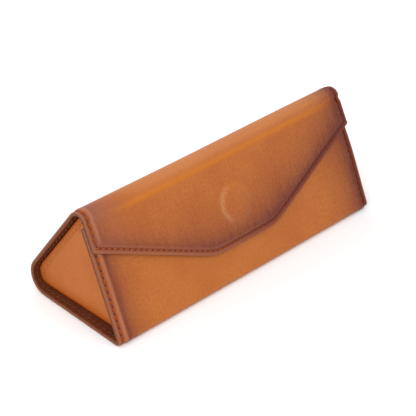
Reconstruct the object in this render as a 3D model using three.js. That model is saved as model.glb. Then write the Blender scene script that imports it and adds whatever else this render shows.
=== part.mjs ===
// A folding eyeglasses case: a triangular prism wrapped in one skin of tan leather.
// The skin is the front panel, the floor, the back panel, the ridge and an envelope flap that
// closes over the front. Each panel is leather over a stiff board over a suede lining, and a
// triangular ear on a fold of leather closes each end.
//
// Millimetres. +X runs along the ridge, -Y is the front with the flap, +Z is up. The origin is
// under the middle of the case, on the surface that it stands on.
//
// The section is drawn in the Y-Z plane. Every layer is measured as a depth inwards from the
// outer leather. Inside each panel's own frame u runs along the case, v runs round the section
// (floor, back, ridge, then down the flap or the front), and w is the depth.

import * as THREE from 'three';

// Driving dimensions
const CASE_LENGTH = 166;
const FLOOR_WIDTH = 65;
const APEX_HEIGHT = 56.2;
const FLAP_LIFT = 2.2;
const RIDGE_RADIUS = 5.3;
const FRONT_FOLD_RADIUS = 2.5;
const BACK_FOLD_RADIUS = 9.5;

// Layers of a panel
const LEATHER = 0.9;
const LAYER_GAP = 0.1;
const BOARD = 0.8;
const FLAP_BOARD = 0.6;
const LINING = 0.35;
const THREAD = 0.5;

// Distances from the sharp apex down each slope
const CREASE = 9.7;
const SEAM_GAP = 0.3;
const FLAP_GAP = 0.45;
const HINGE_RELIEF = 0.9;
const FRONT_TOP = 11.5;
const FLAP_SIDE = 22.1;
const FLAP_TIP = 48.1;
const FLAP_TIP_HALF_WIDTH = 20.2;
const FLAP_KNEE_RADIUS = 5;

// Margins round the boards, where leather and lining are sewn together
const STITCH_MARGIN = 2.1;
const BOARD_MARGIN = 4.2;
const BACK_FOLD_MARGIN = 16.8;
const RIDGE_MARGIN = 2;

// Closure discs under the leather
const DISC_RADIUS = 9;
const DISC_CLEARANCE = 0.3;

// Ears
const EAR_RECESS = 4.4;
const EAR_CLEARANCE = 0.4;
const EAR_TOP_RADIUS = 3.4;
const EAR_FRONT_RADIUS = 3;
const EAR_BACK_RADIUS = 8.5;
const EAR_STITCH_MARGIN = 2.5;
const EAR_BOARD_MARGIN = 4;
const EAR_TAB_LENGTH = 10;
const EAR_TAB_SIDE_CLEARANCE = 13;

const ARC_STEPS = 8;

const HALF_LENGTH = CASE_LENGTH / 2;
const BOARD_DEPTH = LEATHER + LAYER_GAP;
const LINING_DEPTH = BOARD_DEPTH + BOARD + LAYER_GAP;
const FLAP_LINING_DEPTH = BOARD_DEPTH + FLAP_BOARD + LAYER_GAP;
const THREAD_DEPTH = BOARD_DEPTH + LAYER_GAP / 2;
const WALL = LINING_DEPTH + LINING;

const materials = {
  leather: new THREE.MeshStandardMaterial({ color: 0xbf7040, roughness: 0.5, metalness: 0 }),
  earLeather: new THREE.MeshStandardMaterial({ color: 0xbe6d38, roughness: 0.55, metalness: 0 }),
  suede: new THREE.MeshStandardMaterial({ color: 0x6b3a28, roughness: 0.95, metalness: 0 }),
  board: new THREE.MeshStandardMaterial({ color: 0x9a8a72, roughness: 0.9, metalness: 0 }),
  thread: new THREE.MeshStandardMaterial({ color: 0x964720, roughness: 0.8, metalness: 0 }),
  steel: new THREE.MeshStandardMaterial({ color: 0xb4b6b8, roughness: 0.35, metalness: 1 }),
};

// ---- Section geometry -------------------------------------------------------------------

const vec = (y, z) => new THREE.Vector2(y, z);

// The folds' rounding moves the widest points inwards by different amounts at front and back,
// so the sharp triangle is shifted until the whole case is centred on the origin.
function roundedReach(cornerAngle, radius) {
  return radius / Math.tan(cornerAngle / 2) - radius;
}

const apexSide = Math.hypot(FLOOR_WIDTH / 2, APEX_HEIGHT);
const backAngle = Math.atan2(APEX_HEIGHT, FLOOR_WIDTH / 2);
const frontAngle = backAngle - Math.asin(FLAP_LIFT / apexSide);
const sectionShift = (roundedReach(backAngle, BACK_FOLD_RADIUS)
  - roundedReach(frontAngle, FRONT_FOLD_RADIUS)) / 2;

const frontCorner = vec(sectionShift - FLOOR_WIDTH / 2, 0);
const backCorner = vec(sectionShift + FLOOR_WIDTH / 2, 0);
const apex = vec(sectionShift, APEX_HEIGHT);

// A straight outer face of the section: a start point and a direction that keeps the inside
// of the case on its left.
class Face {
  constructor(start, direction) {
    this.start = start;
    this.direction = direction.clone().normalize();
    this.inward = vec(-this.direction.y, this.direction.x);
  }

  at(distance, depth) {
    return this.start.clone()
      .addScaledVector(this.direction, distance)
      .addScaledVector(this.inward, depth);
  }

  meet(other, ownDepth, otherDepth) {
    const from = this.at(0, ownDepth);
    const to = other.at(0, otherDepth);
    const turn = this.direction.cross(other.direction);
    const along = to.sub(from).cross(other.direction) / turn;
    return from.addScaledVector(this.direction, along);
  }
}

const downFront = vec(-Math.cos(frontAngle), -Math.sin(frontAngle));
const floorFace = new Face(frontCorner, vec(1, 0));
const backFace = new Face(backCorner, apex.clone().sub(backCorner));
const flapFace = new Face(apex, downFront);
const frontFace = new Face(flapFace.at(0, FLAP_LIFT), downFront);
const frontLength = frontCorner.distanceTo(frontFace.start);

// A closed outline through sharp points, each rounded to its own radius.
function roundedOutline(corners) {
  const outline = [];
  const count = corners.length;
  corners.forEach(({ point, radius = 0 }, index) => {
    if (radius < 0.05) {
      outline.push(point);
      return;
    }
    const before = corners[(index + count - 1) % count].point.clone().sub(point).normalize();
    const after = corners[(index + 1) % count].point.clone().sub(point).normalize();
    const half = Math.acos(before.dot(after)) / 2;
    const reach = radius / Math.tan(half);
    const centre = before.clone().add(after).normalize()
      .multiplyScalar(radius / Math.sin(half)).add(point);
    const first = point.clone().addScaledVector(before, reach).sub(centre);
    const last = point.clone().addScaledVector(after, reach).sub(centre);
    const sweep = Math.atan2(first.cross(last), first.dot(last));
    for (let step = 0; step <= ARC_STEPS; step += 1) {
      const spoke = first.clone().rotateAround(vec(0, 0), (sweep * step) / ARC_STEPS);
      outline.push(spoke.add(centre));
    }
  });
  return outline;
}

// A band of the wrap between two depths. The route lists a start, the folds, and an end.
function band(route, outerDepth, innerDepth) {
  const side = (depth) => route.map(({ at, radius = 0 }) => (
    { point: at(depth), radius: Math.max(radius - depth, 0) }
  ));
  return roundedOutline([...side(outerDepth), ...side(innerDepth).reverse()]);
}

const shellRoute = (frontTop, backTop) => [
  { at: (depth) => frontFace.at(frontTop, depth) },
  { at: (depth) => frontFace.meet(floorFace, depth, depth), radius: FRONT_FOLD_RADIUS },
  { at: (depth) => floorFace.meet(backFace, depth, depth), radius: BACK_FOLD_RADIUS },
  { at: (depth) => backFace.at(apexSide - backTop, depth) },
];

const ridgeTurn = {
  at: (depth) => backFace.meet(flapFace, depth, depth),
  radius: RIDGE_RADIUS,
};

const ridgeRoute = [
  { at: (depth) => backFace.at(apexSide - CREASE, depth) },
  ridgeTurn,
  { at: (depth) => flapFace.at(CREASE, depth) },
];

const seamRoute = [
  ...shellRoute(FRONT_TOP + SEAM_GAP, CREASE).slice(0, 3),
  ridgeTurn,
  { at: (depth) => flapFace.at(CREASE, depth) },
];

// ---- Placing ----------------------------------------------------------------------------

const model = new THREE.Group();

function extrude(outline, thickness, holes = []) {
  const shape = new THREE.Shape(outline);
  shape.holes = holes;
  return new THREE.ExtrudeGeometry(shape, { depth: thickness, bevelEnabled: false });
}

// The section frame draws Y-Z outlines and extrudes them along X.
const sectionFrame = new THREE.Group();
sectionFrame.setRotationFromMatrix(new THREE.Matrix4().makeBasis(
  new THREE.Vector3(0, 1, 0),
  new THREE.Vector3(0, 0, 1),
  new THREE.Vector3(1, 0, 0),
));
model.add(sectionFrame);

// A panel frame draws u-v outlines on a face and extrudes them inwards.
function panelFrame(face) {
  const frame = new THREE.Group();
  const along = new THREE.Vector3(1, 0, 0);
  const around = new THREE.Vector3(0, face.direction.x, face.direction.y);
  const inward = new THREE.Vector3(0, face.inward.x, face.inward.y);
  frame.setRotationFromMatrix(new THREE.Matrix4().makeBasis(along, around, inward));
  frame.position.set(0, face.start.x, face.start.y);
  model.add(frame);
  return frame;
}

function place(frame, name, geometry, material, depth) {
  const mesh = new THREE.Mesh(geometry, material);
  mesh.name = name;
  mesh.position.z = depth;
  frame.add(mesh);
}

// ---- Outlines on a panel ----------------------------------------------------------------

function rectangle(halfLength, low, high) {
  return [vec(-halfLength, low), vec(halfLength, low), vec(halfLength, high), vec(-halfLength, high)];
}

function disc(radius, v) {
  const path = new THREE.Path();
  path.absarc(0, v, radius, 0, Math.PI * 2);
  return path;
}

// A convex outline pulled in by a margin, given counter-clockwise.
function inset(points, margin) {
  const faces = points.map((point, index) => {
    const next = points[(index + 1) % points.length];
    return new Face(point, next.clone().sub(point));
  });
  return faces.map((face, index) => {
    const previous = faces[(index + faces.length - 1) % faces.length];
    return previous.meet(face, margin, margin);
  });
}

const flapCorners = [
  vec(-HALF_LENGTH, CREASE + SEAM_GAP),
  vec(HALF_LENGTH, CREASE + SEAM_GAP),
  vec(HALF_LENGTH, FLAP_SIDE),
  vec(FLAP_TIP_HALF_WIDTH, FLAP_TIP),
  vec(-FLAP_TIP_HALF_WIDTH, FLAP_TIP),
  vec(-HALF_LENGTH, FLAP_SIDE),
];

function flapOutline(margin, top) {
  const corners = inset(flapCorners, margin);
  corners[0].y = top;
  corners[1].y = top;
  return corners.map((point, index) => {
    const knee = index === 3 || index === 4;
    return { point, radius: knee ? FLAP_KNEE_RADIUS - margin / 2 : 0 };
  });
}

// ---- Shell: front, floor and back -------------------------------------------------------

const closureHeight = frontLength / 2;

function addWrap() {
  const skin = band(shellRoute(FRONT_TOP, CREASE + SEAM_GAP), 0, LEATHER);
  place(sectionFrame, 'wrap_leather', extrude(skin, CASE_LENGTH), materials.leather, -HALF_LENGTH);
  const liningTop = CREASE + RIDGE_MARGIN;
  const suede = band(shellRoute(FRONT_TOP, liningTop), LINING_DEPTH, WALL);
  place(sectionFrame, 'wrap_lining', extrude(suede, CASE_LENGTH), materials.suede, -HALF_LENGTH);
}

function addShellBoards() {
  const halfLength = HALF_LENGTH - BOARD_MARGIN;
  const front = rectangle(
    halfLength,
    FRONT_TOP + BOARD_MARGIN,
    frontLength - BOARD_MARGIN,
  );
  const hole = disc(DISC_RADIUS + DISC_CLEARANCE, closureHeight);
  place(panelFrame(frontFace), 'front_board', extrude(front, BOARD, [hole]), materials.board, BOARD_DEPTH);
  const floor = rectangle(halfLength, BOARD_MARGIN, FLOOR_WIDTH - BACK_FOLD_MARGIN);
  place(panelFrame(floorFace), 'floor_board', extrude(floor, BOARD), materials.board, BOARD_DEPTH);
  const back = rectangle(halfLength, BACK_FOLD_MARGIN, apexSide - CREASE - RIDGE_MARGIN);
  place(panelFrame(backFace), 'back_board', extrude(back, BOARD), materials.board, BOARD_DEPTH);
}

function addFrontClosure() {
  const frame = panelFrame(frontFace);
  const keeper = extrude(disc(DISC_RADIUS, closureHeight).getPoints(), BOARD);
  place(frame, 'front_keeper_disc', keeper, materials.steel, BOARD_DEPTH);
  const hem = rectangle(
    HALF_LENGTH - STITCH_MARGIN - THREAD * 2,
    FRONT_TOP + STITCH_MARGIN,
    FRONT_TOP + STITCH_MARGIN + THREAD,
  );
  place(frame, 'front_top_thread', extrude(hem, THREAD), materials.thread, THREAD_DEPTH);
}

// One row of thread down each end of the wrap, from the front's top edge over to the crease.
function addEndThreads() {
  const seam = band(seamRoute, THREAD_DEPTH, THREAD_DEPTH + THREAD);
  const edge = HALF_LENGTH - STITCH_MARGIN;
  place(sectionFrame, 'left_end_thread', extrude(seam, THREAD), materials.thread, -edge - THREAD / 2);
  place(sectionFrame, 'right_end_thread', extrude(seam, THREAD), materials.thread, edge - THREAD / 2);
}

// ---- Ridge: the live hinge between back and flap ----------------------------------------

function addRidge() {
  const skin = band(ridgeRoute, 0, LEATHER);
  place(sectionFrame, 'ridge_leather', extrude(skin, CASE_LENGTH), materials.leather, -HALF_LENGTH);
  const suede = band(ridgeRoute, FLAP_LINING_DEPTH, FLAP_LINING_DEPTH + LINING);
  place(sectionFrame, 'ridge_lining', extrude(suede, CASE_LENGTH), materials.suede, -HALF_LENGTH);
}

// ---- Flap -------------------------------------------------------------------------------

function addFlap() {
  const frame = panelFrame(flapFace);
  const top = CREASE + FLAP_GAP;
  const outer = roundedOutline(flapOutline(0, top));
  place(frame, 'flap_leather', extrude(outer, LEATHER), materials.leather, 0);
  // The inner layers start lower than the leather, so they clear the ridge as the flap opens.
  const inner = roundedOutline(flapOutline(0, top + HINGE_RELIEF));
  place(frame, 'flap_lining', extrude(inner, LINING), materials.suede, FLAP_LINING_DEPTH);
  const stiff = roundedOutline(flapOutline(BOARD_MARGIN, top + RIDGE_MARGIN));
  const hole = disc(DISC_RADIUS + DISC_CLEARANCE, closureHeight);
  place(frame, 'flap_board', extrude(stiff, FLAP_BOARD, [hole]), materials.board, BOARD_DEPTH);
  const magnet = extrude(disc(DISC_RADIUS, closureHeight).getPoints(), FLAP_BOARD);
  place(frame, 'flap_magnet_disc', magnet, materials.steel, BOARD_DEPTH);
  place(frame, 'flap_thread', extrude(flapSeam(top + HINGE_RELIEF), THREAD), materials.thread, THREAD_DEPTH);
}

// The flap's seam follows its two sides and its lower edge, and is open at the crease.
function flapSeam(top) {
  const [, ...outerSide] = flapOutline(STITCH_MARGIN, top);
  const [, ...innerSide] = flapOutline(STITCH_MARGIN + THREAD, top);
  const leftTop = (margin) => ({ point: vec(margin - HALF_LENGTH, top) });
  return roundedOutline([
    ...outerSide,
    leftTop(STITCH_MARGIN),
    leftTop(STITCH_MARGIN + THREAD),
    ...innerSide.reverse(),
  ]);
}

// ---- Ears -------------------------------------------------------------------------------

function earOutline(margin) {
  const depth = WALL + EAR_CLEARANCE + margin;
  const shrink = margin / 2;
  return roundedOutline([
    { point: frontFace.meet(floorFace, depth, depth), radius: EAR_FRONT_RADIUS - shrink },
    { point: floorFace.meet(backFace, depth, depth), radius: EAR_BACK_RADIUS - shrink },
    { point: backFace.meet(frontFace, depth, depth), radius: EAR_TOP_RADIUS - shrink },
  ]);
}

// side is -1 for the left end and +1 for the right end. Each layer is given by its depth from
// the ear's outer face and its thickness.
function addEar(side, name) {
  const outerFace = HALF_LENGTH - EAR_RECESS;
  const layer = (part, geometry, material, depth, thickness) => {
    const inner = outerFace - depth - thickness;
    const low = side > 0 ? inner : depth - outerFace;
    place(sectionFrame, `${name}_ear_${part}`, geometry, material, low);
  };
  layer('leather', extrude(earOutline(0), LEATHER), materials.earLeather, 0, LEATHER);
  const board = extrude(earOutline(EAR_BOARD_MARGIN), BOARD);
  layer('board', board, materials.board, BOARD_DEPTH, BOARD);
  layer('lining', extrude(earOutline(0), LINING), materials.suede, LINING_DEPTH, LINING);
  const ring = extrude(earOutline(EAR_STITCH_MARGIN), THREAD, [
    new THREE.Path(earOutline(EAR_STITCH_MARGIN + THREAD)),
  ]);
  layer('thread', ring, materials.thread, THREAD_DEPTH, THREAD);
  layer('tab', earTab(), materials.earLeather, WALL + SEAM_GAP, EAR_TAB_LENGTH);
}

// The tab is the ear's leather turned inwards and glued to the floor lining.
function earTab() {
  const low = WALL + LAYER_GAP;
  const start = frontFace.meet(floorFace, WALL, low).x + EAR_TAB_SIDE_CLEARANCE;
  const end = floorFace.meet(backFace, low, WALL).x - EAR_TAB_SIDE_CLEARANCE;
  const section = [vec(start, low), vec(end, low), vec(end, low + LEATHER), vec(start, low + LEATHER)];
  return extrude(section, EAR_TAB_LENGTH);
}

addWrap();
addShellBoards();
addFrontClosure();
addEndThreads();
addRidge();
addFlap();
addEar(-1, 'left');
addEar(1, 'right');

export default model;
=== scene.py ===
import math
import random

import bpy
import numpy as np
from mathutils import Matrix, Vector


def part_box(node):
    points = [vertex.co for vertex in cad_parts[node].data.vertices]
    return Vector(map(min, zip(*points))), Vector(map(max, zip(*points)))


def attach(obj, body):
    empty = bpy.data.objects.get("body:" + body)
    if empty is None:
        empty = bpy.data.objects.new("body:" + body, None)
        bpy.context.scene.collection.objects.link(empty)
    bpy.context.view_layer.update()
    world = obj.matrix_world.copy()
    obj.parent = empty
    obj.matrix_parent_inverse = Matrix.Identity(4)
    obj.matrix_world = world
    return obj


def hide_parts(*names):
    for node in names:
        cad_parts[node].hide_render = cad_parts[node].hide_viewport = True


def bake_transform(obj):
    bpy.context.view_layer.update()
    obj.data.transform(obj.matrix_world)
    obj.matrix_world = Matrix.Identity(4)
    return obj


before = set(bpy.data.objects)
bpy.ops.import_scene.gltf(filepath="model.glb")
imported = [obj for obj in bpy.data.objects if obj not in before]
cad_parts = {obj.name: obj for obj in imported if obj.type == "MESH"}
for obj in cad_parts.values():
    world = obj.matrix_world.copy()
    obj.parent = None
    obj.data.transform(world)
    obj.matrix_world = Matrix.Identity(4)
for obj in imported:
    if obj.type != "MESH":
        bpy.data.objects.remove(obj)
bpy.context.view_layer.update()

# The eyeglasses case's looks. Lengths are millimetres in the same frame as the CAD model, and
# become metres where a mesh is made. A panel is drawn flat, as (u, v): u runs along the case and
# v runs round the section. Depth is measured inwards from the outer leather.

MM = 0.001

# Section of the case
FLOOR_WIDTH = 65.0
APEX_HEIGHT = 56.2
FLAP_LIFT = 2.2
RIDGE_RADIUS = 5.3
FRONT_FOLD_RADIUS = 2.5
BACK_FOLD_RADIUS = 9.5
SHELL_WALL = 2.25
FLAP_WALL = 2.05
LEATHER = 0.9

# Distances from the sharp apex down each slope
CREASE = 9.7
FRONT_TOP = 11.5
BACK_SEAM = 11.5
FLAP_SIDE = 22.1
FLAP_TIP = 48.1
FLAP_BODY_TOP = 13.2

# The flap's lower edge runs level this far each side of its middle, then turns at a soft knee
FLAP_TIP_HALF_WIDTH = 20.2
KNEE_SOFTNESS = 3.0

# The crease under the ridge
CREASE_DEPTH = 0.7
CREASE_WIDTH = 1.15

# Sewn margins
STITCH_MARGIN = 2.1
STITCH_PITCH = 3.15
STITCH_LENGTH = 2.6
THREAD_RADIUS = 0.44
STITCH_SLANT = 15.0
STITCH_WOBBLE = 4.0
STITCH_RISE = 0.3
STITCH_DIP = 0.5
SEAM_STEP = 0.25
RIM_RADIUS = 0.38
MARGIN_WIDTH = 6.3
MARGIN_SINK = 0.34
GROOVE_DEPTH = 0.4
GROOVE_WIDTH = 0.7
BOARD_BULGE = 0.12
BOARD_EDGE = 4.3

# Both skins have a row of points this close to the back seam, so that no dark line shows there
SEAM_ROW = 0.06

# Leather and lining meet at this depth in a sewn margin, each a small gap away from it
MARGIN_JOIN = 1.34
SKIN_GAP = 0.04
LINING_THICKNESS = 0.35
LINING_PINCH = 0.06

# Where the burnish is darkest, from the left end, the right end and the flap's lower edge
LEFT_BURNISH = 5.8
RIGHT_BURNISH = 3.6
EDGE_BURNISH = 3.4
BURNISH_RISE = 3.0

# Small departures of the hand-made case
LEFT_END_SLANT = 1.0
LEFT_SLANT_REACH = 40.0
RIGHT_END_FLARE = 1.1
RIGHT_FLARE_START = 60.0
RIGHT_FLARE_HEIGHT = 26.0
RIGHT_FLARE_SPREAD = 15.0
RIDGE_LIFT = 0.85
RIDGE_CROWN = 0.25
RIDGE_END_FLARE = 0.2

# The leather raised over the closure disc, a little higher up the flap than the CAD disc
DISC_BUMP = 0.9
DISC_EDGE = 9.4
DISC_RISE = 1.8

# Ears
EAR_RECESS = 4.4
EAR_INSET = 2.65
EAR_TOP_RADIUS = 3.4
EAR_FRONT_RADIUS = 3.0
EAR_BACK_RADIUS = 6.5
EAR_STITCH_MARGIN = 2.5
EAR_STITCH_PITCH = 2.1
EAR_STITCH_LENGTH = 1.5
EAR_THREAD_RADIUS = 0.3
EAR_GROOVE = 0.1
EAR_CROWN = 0.3
EAR_FOLD_RADIUS = 2.0
EAR_TAB_LIFT = 2.35
EAR_TAB_END = 66.2
EAR_LINING_FOOT = 6.2
EAR_LINING_SHARE = 0.91
EAR_TAB_SHOULDER = 3.2

HALF_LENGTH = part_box("wrap_leather")[1].x / MM
rng = random.Random(7)


# ---- Plain maths --------------------------------------------------------------------------


def unit(vector):
    return np.asarray(vector, float) / np.linalg.norm(vector)


def leftward(direction):
    return np.array([-direction[1], direction[0]])


def smoothstep(low, high, value):
    share = np.clip((value - low) / (high - low), 0, 1)
    return share * share * (3 - 2 * share)


def hump(centre, width, value):
    return np.exp(-(((value - centre) / width) ** 2))


def spread(start, stop, step):
    """Evenly spaced values from start to stop, both included, about one step apart."""
    return np.linspace(start, stop, max(2, round(abs(stop - start) / step) + 1))


def edge_steps():
    """Distances from a cut edge, close together over its rounding and over the sewn margin."""
    turn = np.linspace(0, math.pi / 2, 5)
    rim = RIM_RADIUS * (1 - np.cos(turn))
    return np.concatenate([rim, spread(RIM_RADIUS + 0.25, MARGIN_WIDTH, 0.3)])


def nearest(points, curve):
    """Each point's distance to a finely drawn curve, and how far along the curve that is."""
    lengths = np.linalg.norm(np.diff(curve, axis=0), axis=1)
    along = np.concatenate([[0], np.cumsum(lengths)])
    distance = np.zeros(points.shape[:2])
    place = np.zeros(points.shape[:2])
    for row, line in enumerate(points):
        gaps = np.linalg.norm(line[:, None, :] - curve[None, :, :], axis=2)
        closest = gaps.argmin(axis=1)
        distance[row] = gaps[np.arange(len(line)), closest]
        place[row] = along[closest]
    return distance, place


# ---- Section ------------------------------------------------------------------------------


class Face:
    """A straight outer face of the section, with the inside of the case on its left."""

    def __init__(self, start, direction):
        self.start = np.asarray(start, float)
        self.direction = unit(direction)
        self.inward = leftward(self.direction)

    def at(self, distance, depth=0.0):
        return self.start + self.direction * distance + self.inward * depth

    def meet(self, other, depth=0.0):
        start, goal = self.at(0, depth), other.at(0, depth)
        turn = np.cross(self.direction, other.direction)
        along = np.cross(goal - start, other.direction) / turn
        return start + self.direction * along


class Route:
    """A path through corners, each rounded to its own radius, with the inside on its left."""

    def __init__(self, corners):
        points = [np.asarray(point, float) for point, _ in corners]
        self.pieces = []
        start = points[0]
        begin = 0.0
        for index in range(1, len(points)):
            direction = unit(points[index] - points[index - 1])
            radius = corners[index][1]
            turn = reach = 0.0
            if radius:
                onward = unit(points[index + 1] - points[index])
                turn = math.acos(float(np.clip(direction @ onward, -1, 1)))
                reach = radius * math.tan(turn / 2)
            length = np.linalg.norm(points[index] - start) - reach
            self.pieces.append((begin, length, start, direction, 0.0))
            begin += length
            start = start + direction * length
            if radius:
                self.pieces.append((begin, radius * turn, start, direction, radius))
                begin += radius * turn
                start = points[index] + onward * reach
        self.length = begin

    def walk(self, distance):
        """Outer points and inward normals at distances along the route."""
        distance = np.asarray(distance, float)
        points = np.zeros(distance.shape + (2,))
        inward = np.zeros(distance.shape + (2,))
        last = len(self.pieces) - 1
        for index, (begin, length, start, direction, radius) in enumerate(self.pieces):
            here = (distance >= begin) | (index == 0)
            if index < last:
                here &= distance < begin + length
            local = distance[here] - begin
            side = leftward(direction)
            if radius:
                angle = local / radius
                normal = np.cos(angle)[:, None] * side - np.sin(angle)[:, None] * direction
                points[here] = start + side * radius - normal * radius
                inward[here] = normal
            else:
                points[here] = start + local[:, None] * direction
                inward[here] = side
        return points, inward

    def rows(self, leg_step, arc_degrees=11):
        """Distances along the route, in even steps on a straight leg and by angle round a fold."""
        found = []
        for begin, length, _, _, radius in self.pieces:
            step = radius * math.radians(arc_degrees) if radius else leg_step
            found.extend(spread(begin, begin + length, step)[:-1])
        return np.array(found + [self.length])


def rounded_reach(corner_angle, radius):
    return radius / math.tan(corner_angle / 2) - radius


apex_side = math.hypot(FLOOR_WIDTH / 2, APEX_HEIGHT)
back_angle = math.atan2(APEX_HEIGHT, FLOOR_WIDTH / 2)
front_angle = back_angle - math.asin(FLAP_LIFT / apex_side)
section_shift = (
    rounded_reach(back_angle, BACK_FOLD_RADIUS) - rounded_reach(front_angle, FRONT_FOLD_RADIUS)
) / 2
front_corner = np.array([section_shift - FLOOR_WIDTH / 2, 0.0])
back_corner = np.array([section_shift + FLOOR_WIDTH / 2, 0.0])
apex = np.array([section_shift, APEX_HEIGHT])

down_front = np.array([-math.cos(front_angle), -math.sin(front_angle)])
floor_face = Face(front_corner, (1, 0))
back_face = Face(back_corner, apex - back_corner)
flap_face = Face(apex, down_front)
front_face = Face(flap_face.at(0, FLAP_LIFT), down_front)
front_length = np.linalg.norm(front_corner - front_face.start)
disc_distance = front_length / 2

shell_route = Route([
    (front_face.at(FRONT_TOP), 0),
    (front_corner, FRONT_FOLD_RADIUS),
    (back_corner, BACK_FOLD_RADIUS),
    (back_face.at(apex_side - BACK_SEAM), 0),
])
flap_route = Route([
    (back_face.at(apex_side - BACK_SEAM), 0),
    (apex, RIDGE_RADIUS),
    (flap_face.at(FLAP_TIP), 0),
])


def flap_walk(v):
    """Distance along the flap's route of a point that is v from the sharp apex."""
    return flap_route.length - FLAP_TIP + v


# ---- Mesh building ------------------------------------------------------------------------


def new_object(name, vertices, faces, fields, vectors):
    mesh = bpy.data.meshes.new(name)
    mesh.from_pydata((np.asarray(vertices) * MM).tolist(), [], faces)
    for field, values in fields.items():
        layer = mesh.attributes.new(field, "FLOAT", "POINT")
        layer.data.foreach_set("value", np.asarray(values, np.float32).ravel())
    for field, values in vectors.items():
        layer = mesh.attributes.new(field, "FLOAT_VECTOR", "POINT")
        layer.data.foreach_set("vector", np.asarray(values, np.float32).ravel())
    mesh.polygons.foreach_set("use_smooth", [True] * len(mesh.polygons))
    mesh.set_sharp_from_angle(angle=math.radians(50))
    piece = bpy.data.objects.new(name, mesh)
    bpy.context.scene.collection.objects.link(piece)
    return piece


def solid_sheet(name, outer, inner, flat, fields):
    """A closed sheet between two grids of points. The fields are carried by both its sides."""
    rows, columns = outer.shape[:2]
    count = rows * columns
    index = np.arange(count).reshape(rows, columns)
    quads = np.stack([index[:-1, :-1], index[1:, :-1], index[1:, 1:], index[:-1, 1:]], axis=-1)
    quads = quads.reshape(-1, 4)
    rim = np.concatenate([
        index[:-1, 0],
        index[-1, :-1],
        index[:0:-1, -1],
        index[0, :0:-1],
    ])
    ahead = np.roll(rim, -1)
    border = np.stack([ahead, rim, rim + count, ahead + count], axis=-1)
    faces = np.concatenate([quads, quads[:, ::-1] + count, border])
    middle = (rows // 2, columns // 2)
    across = outer[middle[0] + 1, middle[1]] - outer[middle]
    along = outer[middle[0], middle[1] + 1] - outer[middle]
    if np.cross(across, along) @ (outer[middle] - inner[middle]) < 0:
        faces = faces[:, ::-1]
    edge = np.zeros((rows, columns))
    edge[0, :] = edge[-1, :] = edge[:, 0] = edge[:, -1] = 1
    both = {field: np.concatenate([v.ravel(), v.ravel()]) for field, v in fields.items()}
    both["rim"] = np.concatenate([edge.ravel(), edge.ravel()])
    both["inside"] = np.concatenate([np.zeros(count), np.ones(count)])
    vertices = np.concatenate([outer.reshape(-1, 3), inner.reshape(-1, 3)])
    flat = flat.reshape(-1, 3)
    return new_object(name, vertices, faces.tolist(), both, {"flat": np.concatenate([flat, flat])})


def settle(x, y, z):
    """Adds the hand-made case's small departures to places on its skins, kept above the floor."""
    near_left = 1 - smoothstep(0, LEFT_SLANT_REACH, x + HALF_LENGTH)
    near_right = smoothstep(RIGHT_FLARE_START, HALF_LENGTH, x)
    on_front = smoothstep(10, -10, y)
    height = np.clip(z / APEX_HEIGHT, 0, 1)
    slant = LEFT_END_SLANT * near_left * y / (FLOOR_WIDTH / 2) * (1 - height)
    bulge = hump(RIGHT_FLARE_HEIGHT, RIGHT_FLARE_SPREAD, z)
    flare = RIGHT_END_FLARE * near_right * bulge * on_front
    lift = RIDGE_LIFT * smoothstep(-30, 65, x) * smoothstep(30, 50, z)
    return np.stack([x + slant + flare, y, np.maximum(z + lift, 0)], axis=-1)


def wrap_points(route, u, distance, depth):
    """Places on a skin that follows a route round the section, at a depth from its outer face."""
    points, inward = route.walk(distance)
    y = points[..., 0] + inward[..., 0] * depth
    z = points[..., 1] + inward[..., 1] * depth
    return settle(u, y, z)


def rounding(edge, radius):
    """How far a rounded edge falls away at a distance from the edge."""
    gap = np.clip(radius - edge, 0, radius)
    return radius - np.sqrt(radius * radius - gap * gap)


def outer_margin(edge, raised=1.0):
    """Depth of the outer leather near a sewn edge. The board's step is lower where raised is less."""
    sink = MARGIN_SINK * (1 - smoothstep(2.6, BOARD_EDGE - 0.1, edge))
    groove = GROOVE_DEPTH * hump(STITCH_MARGIN, GROOVE_WIDTH, edge)
    bulge = BOARD_BULGE * hump(BOARD_EDGE, 0.9, edge)
    return rounding(edge, RIM_RADIUS) + groove + (sink - bulge) * raised


def margin_blend(edge):
    """1 in the sewn margin and 0 over the board."""
    return 1 - smoothstep(2.9, 4.0, edge)


def leather_back(edge):
    """Depth of the inner side of the leather."""
    meet = (MARGIN_JOIN - SKIN_GAP - LEATHER) * margin_blend(edge)
    return LEATHER + meet - rounding(edge, 0.12)


def lining_depths(edge, wall):
    """Depths of the two sides of the lining, which meets the leather in the sewn margin."""
    high = wall - LINING_THICKNESS
    outer = high + (MARGIN_JOIN + SKIN_GAP - high) * margin_blend(edge) + rounding(edge, 0.12)
    inner = wall - rounding(edge, 0.2) - LINING_PINCH * hump(STITCH_MARGIN, 0.5, edge)
    return outer, inner


def side_burnish(u):
    """Where an end's burnish is darkest: past the raised step at the left, on it at the right."""
    return np.where(u < 0, LEFT_BURNISH, RIGHT_BURNISH)


def burnish_band(edge, reach, peak):
    """Hand burnish: darkest at its peak inside a sewn edge, fading with distance past it."""
    fade = np.exp(-np.clip(edge - peak - 0.5, 0, None) / reach)
    return smoothstep(peak - BURNISH_RISE, peak, edge) * fade


# ---- Leather and lining -------------------------------------------------------------------


def case_columns():
    edge = edge_steps()
    middle = spread(MARGIN_WIDTH - HALF_LENGTH, HALF_LENGTH - MARGIN_WIDTH, 1.15)[1:-1]
    return np.concatenate([edge - HALF_LENGTH, middle, (HALF_LENGTH - edge)[::-1]])


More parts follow.
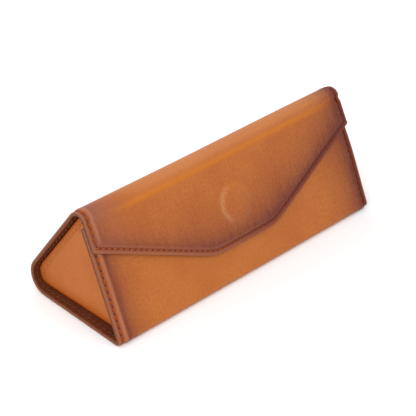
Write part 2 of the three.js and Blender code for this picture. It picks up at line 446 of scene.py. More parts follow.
def shell_grid():
    """Flat coordinates of the shell's skin, with distances from its three sewn edges."""
    edge = edge_steps()
    below = shell_route.rows(1.1)
    below = np.insert(below, -1, below[-1] - SEAM_ROW)
    rows = np.concatenate([edge, below[below > MARGIN_WIDTH + 0.5]])
    u, t = np.meshgrid(case_columns(), rows)
    side = HALF_LENGTH - np.abs(u)
    return u, t, side, np.minimum(side, t)


def make_shell_skin():
    u, t, side, hem = shell_grid()
    outer = wrap_points(shell_route, u, t, outer_margin(hem))
    inner = wrap_points(shell_route, u, t, leather_back(hem))
    on_front = 1 - smoothstep(front_length - FRONT_TOP - 2, front_length - FRONT_TOP, t)
    burnish = burnish_band(side, np.where(u < 0, 5.5, 10.0), side_burnish(u)) * 0.95
    fields = {
        "hem": hem,
        "along": np.where(side < t, t, u),
        "burnish": burnish,
        "orange_tint_and_painted_shade": 0.12 * on_front * smoothstep(-80, -40, u),
        "sided": smoothstep(-2.5, 2.5, t - side),
    }
    flat = np.stack([u, t + 100, 0 * u], axis=-1)
    return solid_sheet("shell_leather", outer, inner, flat, fields)


def make_shell_lining():
    u, t, _, hem = shell_grid()
    high, low = lining_depths(hem, SHELL_WALL)
    outer = wrap_points(shell_route, u, t, high)
    inner = wrap_points(shell_route, u, t, low)
    flat = np.stack([u, t, 0 * u], axis=-1)
    return solid_sheet("shell_lining", outer, inner, flat, {"hem": hem})


def knee_bend(u):
    """How far a column lies past the flap's knee, rounded where the edge turns."""
    past = np.abs(u) - FLAP_TIP_HALF_WIDTH
    return (past + np.sqrt(past**2 + KNEE_SOFTNESS**2)) / 2


flap_slope = (FLAP_TIP - FLAP_SIDE) / (HALF_LENGTH - FLAP_TIP_HALF_WIDTH)


def flap_edge(u):
    return FLAP_TIP - flap_slope * knee_bend(u)


def flap_edge_stretch(u):
    """Length along v that covers one unit of distance from the flap's lower edge."""
    past = np.abs(u) - FLAP_TIP_HALF_WIDTH
    lean = flap_slope * (1 + past / np.sqrt(past**2 + KNEE_SOFTNESS**2)) / 2
    return np.sqrt(1 + lean**2)


def flap_edge_curve():
    u = spread(-HALF_LENGTH, HALF_LENGTH, 0.08)
    return np.stack([u, flap_edge(u)], axis=-1)


def flap_grid():
    """Flat coordinates of the ridge and flap in one grid that follows the flap's outline."""
    ridge = np.insert(flap_route.rows(0.8), 1, SEAM_ROW)
    ridge = ridge[ridge < flap_walk(FLAP_BODY_TOP) - 0.3]
    columns = case_columns()
    stretch = flap_edge_stretch(columns)
    low = flap_walk(flap_edge(columns))
    edge = edge_steps()[::-1]
    band = low[None, :] - edge[:, None] * stretch[None, :]
    share = np.linspace(0, 1, 24)[:-1, None]
    body = flap_walk(FLAP_BODY_TOP) * (1 - share) + band[0][None, :] * share
    t = np.concatenate([np.repeat(ridge[:, None], len(columns), axis=1), body, band])
    u = np.repeat(columns[None, :], len(t), axis=0)
    v = t - flap_walk(0)
    side = HALF_LENGTH - np.abs(u)
    lower, along = nearest(np.stack([u, v], axis=-1), flap_edge_curve())
    return u, t, v, side, lower, along


def crease_dip(u, v):
    return CREASE_DEPTH * hump(CREASE, CREASE_WIDTH, v) * (0.6 + 0.4 * smoothstep(-74, -40, u))


def ridge_bow(u, t):
    """The ridge stands a little proud in the middle of its length and flares at the right end."""
    middle = np.clip(1 - (u / HALF_LENGTH) ** 2, 0, 1)
    on_ridge = hump(BACK_SEAM - 1.5, 4.5, t)
    return on_ridge * (RIDGE_CROWN * middle + RIDGE_END_FLARE * smoothstep(70, 83, u))


def disc_bump(u, v):
    """The leather raised over the closure disc, and how strongly a painted highlight falls on the left
    of its rim and painted shade, in saturated orange, on its upper right.
    """
    middle = disc_distance - DISC_RISE
    away = np.hypot(u, v - middle)
    bearing = np.arctan2(middle - v, u)
    raised = DISC_BUMP * (1 - smoothstep(DISC_EDGE - 1.5, DISC_EDGE, away))
    # Painted highlight on the rim's left and painted shade on its upper right, as light from the left
    # would give
    rubbed = hump(DISC_EDGE - 0.9, 0.9, away) * smoothstep(0.1, 0.9, -np.cos(bearing + 0.15))
    disc_painted_shade = hump(DISC_EDGE - 1.4, 1.0, away) * smoothstep(0.1, 0.9, np.cos(bearing - 1.1))
    return raised, rubbed, disc_painted_shade


def make_flap_skin():
    u, t, v, side, lower, along = flap_grid()
    hem = np.minimum(side, lower)
    raised, rubbed, disc_painted_shade = disc_bump(u, v)
    shape = crease_dip(u, v) - ridge_bow(u, t) - raised
    sided = smoothstep(-2.5, 2.5, lower - side)
    outer = wrap_points(flap_route, u, t, outer_margin(hem, 0.25 + 0.75 * sided) + shape)
    backing = leather_back(hem) + crease_dip(u, v) * (1 - margin_blend(hem))
    inner = wrap_points(flap_route, u, t, backing)
    on_flap = smoothstep(CREASE - 1, CREASE + 3, v)
    rightward = smoothstep(-70, 20, u)
    from_side = burnish_band(side, np.where(u < 0, 5.5, 8.5), side_burnish(u)) * (0.6 + 0.35 * rightward)
    at_knee = hump(FLAP_TIP_HALF_WIDTH, 16, np.abs(u))
    reach = 6.0 + 2.5 * rightward + 1.5 * at_knee
    from_edge = burnish_band(lower, reach, EDGE_BURNISH)
    from_edge = from_edge * (0.8 + 0.2 * at_knee) * on_flap
    fields = {
        "hem": hem,
        "along": np.where(side < lower, t, along),
        "burnish": 1 - (1 - from_side) * (1 - from_edge),
        # Painted shade in saturated orange along the crease under the ridge and on the disc's upper rim
        "orange_tint_and_painted_shade": np.maximum(hump(CREASE + 0.1, 1.3, v) * smoothstep(-76, -50, u), 0.55 * disc_painted_shade),
        "rubbed": rubbed,
        # Painted highlight along the top of the ridge, where it faces the light from above
        "pale": 0.6 * smoothstep(0, 9, t) * smoothstep(CREASE - 0.5, CREASE - 4, v)
        * smoothstep(-75, -30, u),
        # Painted sheen, pinkish grey, towards the left end
        "left_painted_sheen": (1 - smoothstep(2, 30, u + HALF_LENGTH)) * (1 - 0.6 * on_flap),
        "sided": sided,
    }
    flat = np.stack([u, t, 0 * u], axis=-1)
    return solid_sheet("flap_leather_skin", outer, inner, flat, fields)


def make_flap_lining():
    u, t, _, side, lower, _ = flap_grid()
    hem = np.minimum(side, lower)
    high, low = lining_depths(hem, FLAP_WALL)
    outer = wrap_points(flap_route, u, t, high)
    inner = wrap_points(flap_route, u, t, low)
    flat = np.stack([u, t, 0 * u], axis=-1)
    return solid_sheet("flap_lining_suede", outer, inner, flat, {"hem": hem})


# ---- Ears ---------------------------------------------------------------------------------

ear_front = front_face.meet(floor_face, EAR_INSET)
ear_back = floor_face.meet(back_face, EAR_INSET)
ear_top = back_face.meet(front_face, EAR_INSET)


def arc_corner(before, corner, after, radius, count=40):
    """Points of a rounded corner."""
    route = Route([(before, 0), (corner, radius), (after, 0)])
    begin, length = route.pieces[1][0], route.pieces[1][1]
    return route.walk(np.linspace(begin, begin + length, count))[0]


def ear_outline(foot):
    """The ear's cut edge, drawn finely: up the back, over the top and down the front.

    Below the rounded corners it goes on straight down both sides of the folded tab.
    """
    ring = np.concatenate([
        arc_corner(ear_front, ear_back, ear_top, EAR_BACK_RADIUS),
        arc_corner(ear_back, ear_top, ear_front, EAR_TOP_RADIUS),
        arc_corner(ear_top, ear_front, ear_back, EAR_FRONT_RADIUS),
    ])
    ring = ring[ring[:, 1] > EAR_TAB_SHOULDER]
    start, end = (ring[0, 0], foot), (ring[-1, 0], foot)
    curve = np.concatenate([[start], ring, [end]])
    lengths = np.concatenate([[0], np.cumsum(np.linalg.norm(np.diff(curve, axis=0), axis=1))])
    even = spread(0, lengths[-1], 0.12)
    return np.stack([np.interp(even, lengths, curve[:, axis]) for axis in (0, 1)], axis=-1)


def ear_lattice(foot):
    """An ear's cut edge, and a grid of y and height that is close together near that edge."""
    outline = ear_outline(foot)
    peak = outline[:, 1].argmax()
    top = outline[peak, 1] - 0.03
    heights = np.concatenate([top - edge_steps(), spread(top - MARGIN_WIDTH, foot, 0.7)[1:]])
    back = np.interp(heights, outline[: peak + 1, 1], outline[: peak + 1, 0])
    front = np.interp(heights, outline[peak:, 1][::-1], outline[peak:, 0][::-1])
    near = edge_steps() / math.sin(back_angle)
    inner_columns = 18
    y = []
    for low, high in zip(front, back):
        span = high - low
        reach = min(near[-1], span * 0.28)
        left = np.concatenate([
            near * reach / near[-1],
            np.linspace(reach, span / 2, inner_columns)[1:],
        ])
        y.append(low + np.concatenate([left, (span - left)[-2::-1]]))
    y = np.array(y)
    return outline, y, np.repeat(heights[:, None], y.shape[1], axis=1)


def ear_route():
    outer = HALF_LENGTH - EAR_RECESS
    return Route([
        ((-outer, ear_top[1]), 0),
        ((-outer, EAR_TAB_LIFT), EAR_FOLD_RADIUS),
        ((-EAR_TAB_END, EAR_TAB_LIFT), 0),
    ])


def ear_points(side, route, y, height, depth):
    along = route.pieces[0][2][1] - height
    points, inward = route.walk(along)
    placed = points + inward * np.asarray(depth)[..., None]
    return np.stack([-side * placed[..., 0], y, placed[..., 1]], axis=-1)


def make_ear_skin(side, name):
    fold_top = EAR_TAB_LIFT + EAR_FOLD_RADIUS
    tab = HALF_LENGTH - EAR_RECESS - EAR_FOLD_RADIUS - EAR_TAB_END
    foot = fold_top - EAR_FOLD_RADIUS * math.pi / 2 - tab
    outline, y, height = ear_lattice(foot)
    hem, along = nearest(np.stack([y, height], axis=-1), outline)
    hem = np.minimum(hem, height - foot)
    standing = smoothstep(fold_top - 1, fold_top + 4, height)
    route = ear_route()
    groove = EAR_GROOVE * hump(EAR_STITCH_MARGIN, 0.45, hem) * standing
    crown = EAR_CROWN * smoothstep(1.5, 11, hem) * standing
    outer = ear_points(side, route, y, height, rounding(hem, RIM_RADIUS) + groove - crown)
    inner = ear_points(side, route, y, height, LEATHER - rounding(hem, 0.1))
    # Painted shade in saturated orange along the ear's cut edge and over its fold onto the tab
    ear_edge_painted_shade = (1 - smoothstep(0.3, 1.7, hem)) * 0.9
    fields = {
        "hem": hem,
        "along": along,
        "orange_tint_and_painted_shade": np.maximum(ear_edge_painted_shade, 1 - smoothstep(fold_top - 0.5, fold_top + 2.0, height)),
    }
    flat = np.stack([y, height + 300, 0 * y], axis=-1)
    return solid_sheet(f"{name}_ear_skin", outer, inner, flat, fields)


def make_ear_lining(side, name):
    """The ear's lining stops a little short of the leather's edge."""
    outline, y, height = ear_lattice(EAR_LINING_FOOT)
    hem, _ = nearest(np.stack([y, height], axis=-1), outline)
    hem = np.minimum(hem, height - EAR_LINING_FOOT)
    route = ear_route()
    high, low = lining_depths(hem, SHELL_WALL)
    middle = (y[:, :1] + y[:, -1:]) / 2
    across = middle + (y - middle) * EAR_LINING_SHARE
    outer = ear_points(side, route, across, height, np.maximum(high, LEATHER + 0.06))
    inner = ear_points(side, route, across, height, low)
    flat = np.stack([y, height, 0 * y], axis=-1)
    return solid_sheet(f"{name}_ear_suede", outer, inner, flat, {"hem": hem})


# ---- Thread -------------------------------------------------------------------------------


class Stitches:
    """Rows of stitches. Each stitch is a short length of thread that dips into a hole at each end."""

    SIDES = 7
    STEPS = 7

    def __init__(self):
        self.vertices = []
        self.faces = []
        self.flat = []
        self.hidden = []

    def add(self, place, along, normal, length=STITCH_LENGTH, radius=THREAD_RADIUS,
            slant=STITCH_SLANT, hidden=0.0):
        along, normal = unit(along), unit(normal)
        across = np.cross(normal, along)
        tilt = math.radians(slant + rng.uniform(-STITCH_WOBBLE, STITCH_WOBBLE))
        along = along * math.cos(tilt) + across * math.sin(tilt)
        across = np.cross(normal, along)
        start = len(self.vertices)
        for step in range(self.STEPS):
            share = step / (self.STEPS - 1)
            swell = 1 - (2 * share - 1) ** 4
            lift = swell * (STITCH_RISE + STITCH_DIP) - STITCH_DIP
            centre = place + along * (share - 0.5) * length + normal * lift
            thick = radius * (0.72 + 0.28 * swell)
            for corner in range(self.SIDES):
                angle = 2 * math.pi * corner / self.SIDES
                spoke = across * math.cos(angle) + normal * math.sin(angle)
                self.vertices.append(centre + spoke * thick)
                self.flat.append((share * length, corner / self.SIDES, place[0]))
                self.hidden.append(hidden)
        for step in range(self.STEPS - 1):
            for corner in range(self.SIDES):
                a = start + step * self.SIDES + corner
                b = start + step * self.SIDES + (corner + 1) % self.SIDES
                self.faces.append((a, b, b + self.SIDES, a + self.SIDES))
        end = start + (self.STEPS - 1) * self.SIDES
        self.faces.append(tuple(range(start + self.SIDES - 1, start - 1, -1)))
        self.faces.append(tuple(range(end, end + self.SIDES)))

    def row(self, places, normals, **shape):
        """Stitches at even distances along a finely drawn line of places."""
        lengths = np.linalg.norm(np.diff(places, axis=0), axis=1)
        travelled = np.concatenate([[0], np.cumsum(lengths)])
        pitch = shape.pop("pitch", STITCH_PITCH)
        first = shape.pop("first", pitch / 2)
        for distance in np.arange(first, travelled[-1] - pitch * 0.4, pitch):
            spot, ahead = (
                np.array([np.interp(distance + gap, travelled, places[:, k]) for k in range(3)])
                for gap in (-0.1, 0.1)
            )
            normal = np.array([np.interp(distance, travelled, normals[:, k]) for k in range(3)])
            self.add((spot + ahead) / 2, ahead - spot, normal, **shape)

    def make(self, name):
        return new_object(name, self.vertices, self.faces, {"hidden": self.hidden}, {"flat": self.flat})


def seam_line(route, u, distance, depth, outwards=True):
    """Places and outward normals of a seam on a wrapped skin."""
    u = np.broadcast_to(u, distance.shape)
    places = wrap_points(route, u, distance, np.full(distance.shape, depth))
    _, inward = route.walk(distance)
    sign = -1 if outwards else 1
    normals = np.stack([0 * u, inward[:, 0] * sign, inward[:, 1] * sign], axis=-1)
    return places, normals


seam_depth = float(outer_margin(np.array(STITCH_MARGIN)))


def phase(start):
    """Distance to the first stitch, so that holes fall where the leather has them."""
    return (STITCH_PITCH / 2 - start) % STITCH_PITCH


def sew_ends(thread, route, down, depth, outwards):
    """The rows of stitches down the left and right ends of a wrapped skin."""
    for end in (-1, 1):
        u = end * (HALF_LENGTH - STITCH_MARGIN)
        places, normals = seam_line(route, u, down, depth, outwards)
        thread.row(places, normals, hidden=float(not outwards), first=phase(down[0]))


def make_shell_stitches():
    thread = Stitches()
    down = spread(STITCH_MARGIN, shell_route.length, SEAM_STEP)
    across = spread(STITCH_MARGIN - HALF_LENGTH, HALF_LENGTH - STITCH_MARGIN, 0.5)
    for depth, outwards in ((seam_depth, True), (SHELL_WALL, False)):
        sew_ends(thread, shell_route, down, depth, outwards)
        level = np.full(across.shape, STITCH_MARGIN)
        places, normals = seam_line(shell_route, across, level, depth, outwards)
        thread.row(places, normals, hidden=float(not outwards), first=phase(across[0]))
    return thread.make("shell_stitches")


def flap_seam():
    """The flap's seam along its lower edge, as flat coordinates."""
    curve = flap_edge_curve()
    slope = np.gradient(curve[:, 1], curve[:, 0])
    normal = np.stack([slope, -np.ones_like(slope)], axis=-1)
    normal /= np.linalg.norm(normal, axis=1)[:, None]
    seam = curve + normal * STITCH_MARGIN
    inside = np.abs(seam[:, 0]) <= HALF_LENGTH - STITCH_MARGIN
    lengths = np.linalg.norm(np.diff(curve, axis=0), axis=1)
    travelled = np.concatenate([[0], np.cumsum(lengths)])
    return seam[inside], travelled[inside][0]


def make_flap_stitches():
    thread = Stitches()
    seam, begin = flap_seam()
    corner = seam[0][1]
    down = spread(0, flap_walk(corner), SEAM_STEP)
    for depth, outwards in ((seam_depth, True), (FLAP_WALL, False)):
        sew_ends(thread, flap_route, down, depth, outwards)
        places, normals = seam_line(flap_route, seam[:, 0], flap_walk(seam[:, 1]), depth, outwards)
        thread.row(places, normals, hidden=float(not outwards), first=phase(begin))
    return thread.make("flap_stitches")


def make_ear_stitches(side, name):
    """Fine stitches up the ear's back, over its top and down its front, ending above the fold."""
    thread = Stitches()
    outline = ear_outline(EAR_TAB_SHOULDER)
    travel = np.gradient(outline, axis=0)
    inwards = np.stack([-travel[:, 1], travel[:, 0]], axis=-1)
    inwards /= np.linalg.norm(inwards, axis=1)[:, None]
    seam = outline + inwards * EAR_STITCH_MARGIN
    seam = seam[seam[:, 1] > EAR_LINING_FOOT + 1.5]
    route = ear_route()
    for depth, sign in ((0.06, 1), (SHELL_WALL, -1)):
        places = ear_points(side, route, seam[:, 0], seam[:, 1], np.full(len(seam), depth))
        normals = np.tile(np.array([side * sign, 0.0, 0.0]), (len(seam), 1))
        thread.row(
            places, normals, pitch=EAR_STITCH_PITCH, length=EAR_STITCH_LENGTH,
            radius=EAR_THREAD_RADIUS, slant=0.0,
        )
    return thread.make(f"{name}_ear_stitches")


# ---- Materials ----------------------------------------------------------------------------

# In this scene a surface shows about its base colour times LIGHT_LEVEL, plus its gloss
LIGHT_LEVEL = 1.2
GLOSS_LIFT = 0.028


def tone(red, green, blue, gloss=GLOSS_LIFT):
    """The base colour that shows as these 0 to 255 display values in this scene's even light."""
    def base(value):
        value = value / 255
        linear = value / 12.92 if value <= 0.04045 else ((value + 0.055) / 1.055) ** 2.4
        return max(linear - gloss, 0.002) / LIGHT_LEVEL
    return (base(red), base(green), base(blue), 1.0)


class Shader:
    """A small helper that builds a node material."""

    def __init__(self, name):
        self.material = bpy.data.materials.new(name)
        self.material.use_nodes = True
        self.tree = self.material.node_tree
        self.surface = self.tree.nodes["Principled BSDF"]

    def add(self, kind, output=0, settings=None, **inputs):
        node = self.tree.nodes.new(kind)
        for key, value in (settings or {}).items():
            setattr(node, key, value)
        for key, value in inputs.items():
            self.feed(node, int(key[2:]) if key.startswith("at") else key.replace("_", " "), value)
        return node.outputs[output]

    def feed(self, node, socket, value):
        if isinstance(value, bpy.types.NodeSocket):
            self.tree.links.new(value, node.inputs[socket])
        else:
            node.inputs[socket].default_value = value

    def attribute(self, name, output="Fac"):
        return self.add("ShaderNodeAttribute", output, {"attribute_name": name})

    def math(self, operation, first, second=0.0, clamp=False):
        return self.add(
            "ShaderNodeMath", 0, {"operation": operation, "use_clamp": clamp}, at0=first, at1=second
        )

    def place(self):
        """The piece's own coordinates in millimetres."""
        return self.scaled(self.add("ShaderNodeTexCoord", "Object"), (1 / MM, 1 / MM, 1 / MM))

    def scaled(self, vector, factors):
        return self.add(
            "ShaderNodeVectorMath", 0, {"operation": "MULTIPLY"}, at0=vector, at1=factors
        )

    def noise(self, vector, scale, detail=2.0, roughness=0.5):
        return self.add(
            "ShaderNodeTexNoise", 0, None,
            Vector=vector, Scale=scale, Detail=detail, Roughness=roughness,
        )

    def cells(self, vector, scale):
        return self.add(
            "ShaderNodeTexVoronoi", 0, {"feature": "SMOOTH_F1"},
            Vector=vector, Scale=scale, Smoothness=0.6,
        )

    def between(self, value, low, high, start=0.0, end=1.0):
        return self.add(
            "ShaderNodeMapRange", 0, {"interpolation_type": "SMOOTHSTEP"},
            at0=value, at1=low, at2=high, at3=start, at4=end,
        )

    def mix(self, factor, first, second):
        node = self.tree.nodes.new("ShaderNodeMix")
        node.data_type = "RGBA"
        self.feed(node, 0, factor)
        self.feed(node, 6, first)
        self.feed(node, 7, second)
        return node.outputs[2]

    def bump(self, height, depth, strength=1.0, below=None):
        inputs = {"Height": height, "Distance": depth * MM, "Strength": strength}
        if below is not None:
            inputs["Normal"] = below
        return self.add("ShaderNodeBump", 0, None, **inputs)

    def finish(self, colour, roughness, normal=None, **constants):
        self.feed(self.surface, "Base Color", colour)
        self.feed(self.surface, "Roughness", roughness)
        if normal is not None:
            self.feed(self.surface, "Normal", normal)
        for key, value in constants.items():
            self.feed(self.surface, key.replace("_", " "), value)
        return self.material


def near_value(shader, value, centre, width):
    """1 where the value is at the centre, 0 a width away from it."""
    gap = shader.math("ABSOLUTE", shader.math("SUBTRACT", value, centre))
    return shader.between(gap, 0.0, width, 1.0, 0.0)


def stitch_holes(shader, hem, along, margin, pitch):
    """Dark spots where the thread goes through the leather."""
    turn = shader.math("FRACT", shader.math("DIVIDE", along, pitch))
    gap = shader.math("MINIMUM", turn, shader.math("SUBTRACT", 1.0, turn))
    near_hole = shader.between(gap, 0.06, 0.2, 1.0, 0.0)
    return shader.math("MULTIPLY", near_hole, near_value(shader, hem, margin, 0.75))


def leather_material():
    s = Shader("burnished_tan_leather")
    flat = s.attribute("flat", "Vector")
    hem = s.attribute("hem")
    split = s.add("ShaderNodeSeparateXYZ", 0, None, Vector=flat)
    rightward = s.between(split, -50.0, 55.0)
    cloud = s.noise(flat, 0.045, 3.0)
    mottle = s.noise(flat, 0.8, 5.0, 0.62)
    pull = s.noise(s.scaled(flat, (0.5, 0.07, 1.0)), 1.0, 3.0)
    colour = s.mix(s.between(cloud, 0.3, 0.7), tone(190, 108, 54), tone(199, 118, 60))
    colour = s.mix(s.between(mottle, 0.35, 0.7, 0.0, 0.3), colour, tone(172, 90, 42))
    colour = s.mix(s.between(pull, 0.5, 0.75, 0.0, 0.12), colour, tone(168, 88, 42))
    # Painted highlight along the top of the ridge
    colour = s.mix(s.attribute("pale"), colour, tone(214, 140, 88))
    # Saturated orange: painted shade in the crease under the ridge and on the disc's upper rim, and a
    # mild orange tint on the front panel
    colour = s.mix(s.attribute("orange_tint_and_painted_shade"), colour, tone(212, 123, 0))
    # Painted highlight on the left of the closure disc's raised rim
    colour = s.mix(s.math("MULTIPLY", s.attribute("rubbed"), 0.6), colour, tone(216, 156, 112))
    worn = s.math("ADD", s.attribute("burnish"), s.between(mottle, 0.3, 0.7, -0.07, 0.07))
    worn = s.math("MULTIPLY", worn, s.between(pull, 0.3, 0.7, 0.9, 1.06), clamp=True)
    dark = s.mix(rightward, tone(126, 66, 54), tone(100, 38, 26))
    colour = s.mix(s.math("MULTIPLY", worn, 0.95, clamp=True), colour, dark)
    # Painted sheen, pinkish grey, towards the left end
    colour = s.mix(s.math("MULTIPLY", s.attribute("left_painted_sheen"), 0.6), colour, tone(162, 104, 86))
    margin = s.between(hem, 2.6, 4.3, 1.0, 0.0)
    border = s.mix(rightward, tone(156, 94, 70), tone(116, 54, 38))
    colour = s.mix(s.math("MULTIPLY", margin, 0.85), colour, border)
    # Painted highlight on the board's raised step beside the sewn ends, fading out towards the right
    painted_step_highlight = near_value(s, hem, BOARD_EDGE - 0.1, 1.0)
    painted_step_highlight = s.math("MULTIPLY", painted_step_highlight, s.between(split, -75.0, 20.0, 0.35, 0.0))
    painted_step_highlight = s.math("MULTIPLY", painted_step_highlight, s.attribute("sided"))
    colour = s.mix(painted_step_highlight, colour, tone(192, 134, 112))
    groove = near_value(s, hem, STITCH_MARGIN, 1.1)
    deep = s.mix(rightward, tone(132, 58, 30), tone(84, 34, 22))
    colour = s.mix(s.math("MULTIPLY", groove, 0.85), colour, deep)
    holes = stitch_holes(s, hem, s.attribute("along"), STITCH_MARGIN, STITCH_PITCH)
    colour = s.mix(s.math("MULTIPLY", holes, 0.9), colour, tone(66, 26, 16))
    edge_paint = s.mix(rightward, tone(132, 90, 74), tone(100, 48, 34))
    colour = s.mix(s.between(s.attribute("rim"), 0.2, 0.9), colour, edge_paint)
    grain = s.cells(flat, 1.7)
    normal = s.bump(grain, 0.03)
    normal = s.bump(mottle, 0.05, below=normal)
    normal = s.bump(pull, 0.16, below=normal)
    roughness = s.between(mottle, 0.2, 0.8, 0.42, 0.54)
    return s.finish(colour, roughness, normal, Specular_IOR_Level=0.35)


def ear_material():
    s = Shader("plain_tan_leather")
    flat = s.attribute("flat", "Vector")
    cloud = s.noise(flat, 0.06, 3.0)
    mottle = s.noise(flat, 1.0, 5.0, 0.62)
    colour = s.mix(s.between(cloud, 0.3, 0.7), tone(188, 107, 56), tone(196, 116, 62))
    colour = s.mix(s.between(mottle, 0.35, 0.7, 0.0, 0.25), colour, tone(172, 90, 40))
    # Painted shade in saturated orange along the ear's edges and at its fold
    colour = s.mix(s.attribute("orange_tint_and_painted_shade"), colour, tone(196, 98, 20))
    seam = near_value(s, s.attribute("hem"), EAR_STITCH_MARGIN, 0.5)
    colour = s.mix(s.math("MULTIPLY", seam, 0.2), colour, tone(150, 76, 30))
    normal = s.bump(s.cells(flat, 1.9), 0.03)
    normal = s.bump(mottle, 0.05, below=normal)
    return s.finish(
        colour, s.between(mottle, 0.2, 0.8, 0.48, 0.6), normal,
        Specular_IOR_Level=0.35,
    )


def suede_material():
    s = Shader("suede_lining")
    flat = s.attribute("flat", "Vector")
    nap = s.noise(flat, 3.2, 4.0, 0.7)
    brushed = s.noise(s.scaled(flat, (0.12, 0.4, 1.0)), 1.0, 3.0)
    colour = s.mix(s.between(nap, 0.3, 0.7), tone(92, 46, 27, 0.004), tone(112, 60, 38, 0.004))
    colour = s.mix(s.between(brushed, 0.35, 0.7, 0.0, 0.5), colour, tone(124, 70, 46, 0.004))
    colour = s.mix(s.between(s.attribute("rim"), 0.2, 0.9), colour, tone(140, 92, 72))
    return s.finish(colour, 0.95, s.bump(nap, 0.12), Specular_IOR_Level=0.08)


def thread_material(name, light, dark, right_side):
    """Twisted thread, darker at the right end with its burnished leather, and on the lining."""
    s = Shader(name)
    flat = s.attribute("flat", "Vector")
    wave = s.add(
        "ShaderNodeTexWave", 0, {"wave_type": "BANDS", "bands_direction": "DIAGONAL"},
        Vector=s.scaled(flat, (1.1, 1.0, 0.0)), Scale=1.6, Distortion=0.4,
    )
    fuzz = s.noise(flat, 5.0, 2.0)
    colour = s.mix(s.between(wave, 0.2, 0.8), dark, light)
    colour = s.mix(s.between(fuzz, 0.3, 0.8, 0.0, 0.4), colour, dark)
    where = s.add("ShaderNodeSeparateXYZ", 2, None, Vector=flat)
    colour = s.mix(s.between(where, -60.0, 40.0), colour, right_side)
    colour = s.mix(s.attribute("hidden"), colour, tone(112, 60, 38, 0.006))
    return s.finish(colour, 0.7, s.bump(wave, 0.08), Specular_IOR_Level=0.15)


def board_material():
    s = Shader("pressed_board")
    place = s.place()
    fibre = s.noise(s.scaled(place, (0.4, 2.2, 2.2)), 1.0, 5.0, 0.7)
    flecks = s.cells(place, 1.3)
    colour = s.mix(fibre, tone(120, 100, 76), tone(168, 148, 118))
    colour = s.mix(s.between(flecks, 0.0, 0.35, 0.5, 0.0), colour, tone(92, 74, 54))
    return s.finish(colour, 0.88, s.bump(fibre, 0.08))


def steel_material():
    s = Shader("plated_steel")
    place = s.place()
    brushed = s.noise(s.scaled(place, (0.15, 4.0, 4.0)), 1.0, 3.0)
    colour = s.mix(brushed, tone(168, 170, 173), tone(196, 198, 200))
    roughness = s.between(brushed, 0.2, 0.8, 0.28, 0.42)
    return s.finish(colour, roughness, s.bump(brushed, 0.01), Metallic=1.0)


# ---- Scene --------------------------------------------------------------------------------

CAMERA_AZIMUTH = -51.93
CAMERA_ELEVATION = 32.94
CAMERA_ROLL = 7.19
CAMERA_LENS = 160.3
CAMERA_PLACE = (-542.8, -424.0, 466.3)


def add_camera():
    azimuth, elevation, roll = (
        math.radians(angle) for angle in (CAMERA_AZIMUTH, CAMERA_ELEVATION, CAMERA_ROLL)
    )
    back = Vector((
        math.sin(azimuth) * math.cos(elevation),
        -math.cos(azimuth) * math.cos(elevation),
        math.sin(elevation),
    ))
    level = Vector((math.cos(azimuth), math.sin(azimuth), 0))
    upright = back.cross(level)
    right = level * math.cos(roll) + upright * math.sin(roll)
    up = upright * math.cos(roll) - level * math.sin(roll)
    data = bpy.data.cameras.new("camera")
    data.lens = CAMERA_LENS
    data.sensor_width = 36
    data.clip_start = 0.01
    camera = bpy.data.objects.new("camera", data)
    camera.matrix_world = Matrix.Translation(Vector(CAMERA_PLACE) * MM) @ Matrix(
        (right, up, back)
    ).transposed().to_4x4()
    bpy.context.scene.collection.objects.link(camera)
    bpy.context.scene.camera = camera


def add_light(name, place, size, power):
    data = bpy.data.lights.new(name, "AREA")
    data.shape = "DISK"
    data.size = size
    data.energy = power
    light = bpy.data.objects.new(name, data)
    light.location = place
    light.rotation_euler = (-Vector(place)).to_track_quat("-Z", "Y").to_euler()
    bpy.context.scene.collection.objects.link(light)


def add_studio():
    """A pale floor under even white light, with a soft key and a weaker light from behind."""
    world = bpy.data.worlds.new("studio")
    world.use_nodes = True
    world.node_tree.nodes["Background"].inputs["Color"].default_value = (1, 1, 1, 1)
    world.node_tree.nodes["Background"].inputs["Strength"].default_value = 0.95
    bpy.context.scene.world = world
    add_light("key", (-0.95, -0.45, 0.8), 0.8, 7.0)
    add_light("back", (-0.1, 1.0, 0.9), 0.5, 3.0)
    reach = 6.0
    mesh = bpy.data.meshes.new("floor")
    corners = [(-reach, -reach, 0), (reach, -reach, 0), (reach, reach, 0), (-reach, reach, 0)]
    mesh.from_pydata(corners, [], [(0, 1, 2, 3)])
    floor = bpy.data.objects.new("floor", mesh)
    bpy.context.scene.collection.objects.link(floor)
    shader = Shader("pale_floor")
    mesh.materials.append(
        shader.finish((0.96, 0.96, 0.96, 1), 0.9, Specular_IOR_Level=0.1)
    )
    bpy.context.scene.view_settings.view_transform = "Standard"


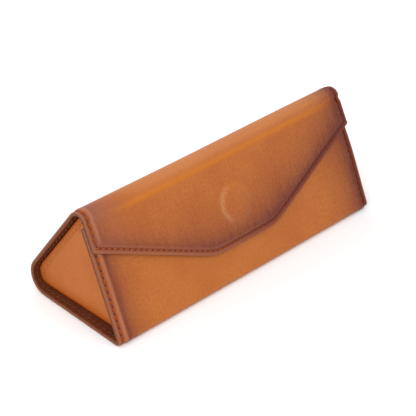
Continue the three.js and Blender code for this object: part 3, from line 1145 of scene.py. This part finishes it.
def dress(piece, material, slot, *nodes):
    piece.data.materials.clear()
    piece.data.materials.append(material)
    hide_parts(*nodes)


def bend_over_ridge(piece):
    """Bakes the piece's place into its mesh. The turn over the ridge is already in its shape; nothing is
    bent here.
    """
    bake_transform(piece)


def bend_at_foot(piece):
    """Bakes the piece's place into its mesh. The ear's turn up from the tab is already in its shape."""
    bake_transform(piece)


add_camera()
add_studio()

leather = leather_material()
ear_leather = ear_material()
suede = suede_material()
thread = thread_material("waxed_thread", tone(200, 114, 62), tone(152, 74, 38), tone(134, 70, 52))
ear_thread = thread_material("ear_thread", tone(230, 152, 88), tone(200, 116, 60), tone(206, 126, 70))

shell_skin = make_shell_skin()
dress(shell_skin, leather, "tan_leather", "wrap_leather")
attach(shell_skin, "shell")

shell_lining = make_shell_lining()
dress(shell_lining, suede, "suede_lining", "wrap_lining")
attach(shell_lining, "shell")

shell_stitches = make_shell_stitches()
dress(
    shell_stitches, thread, "thread",
    "front_top_thread", "left_end_thread", "right_end_thread",
)
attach(shell_stitches, "shell")

flap_skin = make_flap_skin()
dress(flap_skin, leather, "tan_leather", "ridge_leather", "flap_leather")
bend_over_ridge(flap_skin)

flap_lining = make_flap_lining()
dress(flap_lining, suede, "suede_lining", "ridge_lining", "flap_lining")
bend_over_ridge(flap_lining)

flap_stitches = make_flap_stitches()
dress(flap_stitches, thread, "thread", "flap_thread")
bend_over_ridge(flap_stitches)

for side, name in ((-1, "left"), (1, "right")):
    skin = make_ear_skin(side, name)
    dress(skin, ear_leather, "ear_leather", f"{name}_ear_leather", f"{name}_ear_tab")
    bend_at_foot(skin)
    lining = make_ear_lining(side, name)
    dress(lining, suede, "suede_lining", f"{name}_ear_lining")
    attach(lining, f"{name}_ear")
    stitches = make_ear_stitches(side, name)
    dress(stitches, ear_thread, "thread", f"{name}_ear_thread")
    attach(stitches, f"{name}_ear")

board = board_material()
steel = steel_material()
for node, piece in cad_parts.items():
    if piece.hide_render:
        continue
    piece.data.materials.clear()
    piece.data.materials.append(steel if node.endswith("disc") else board)
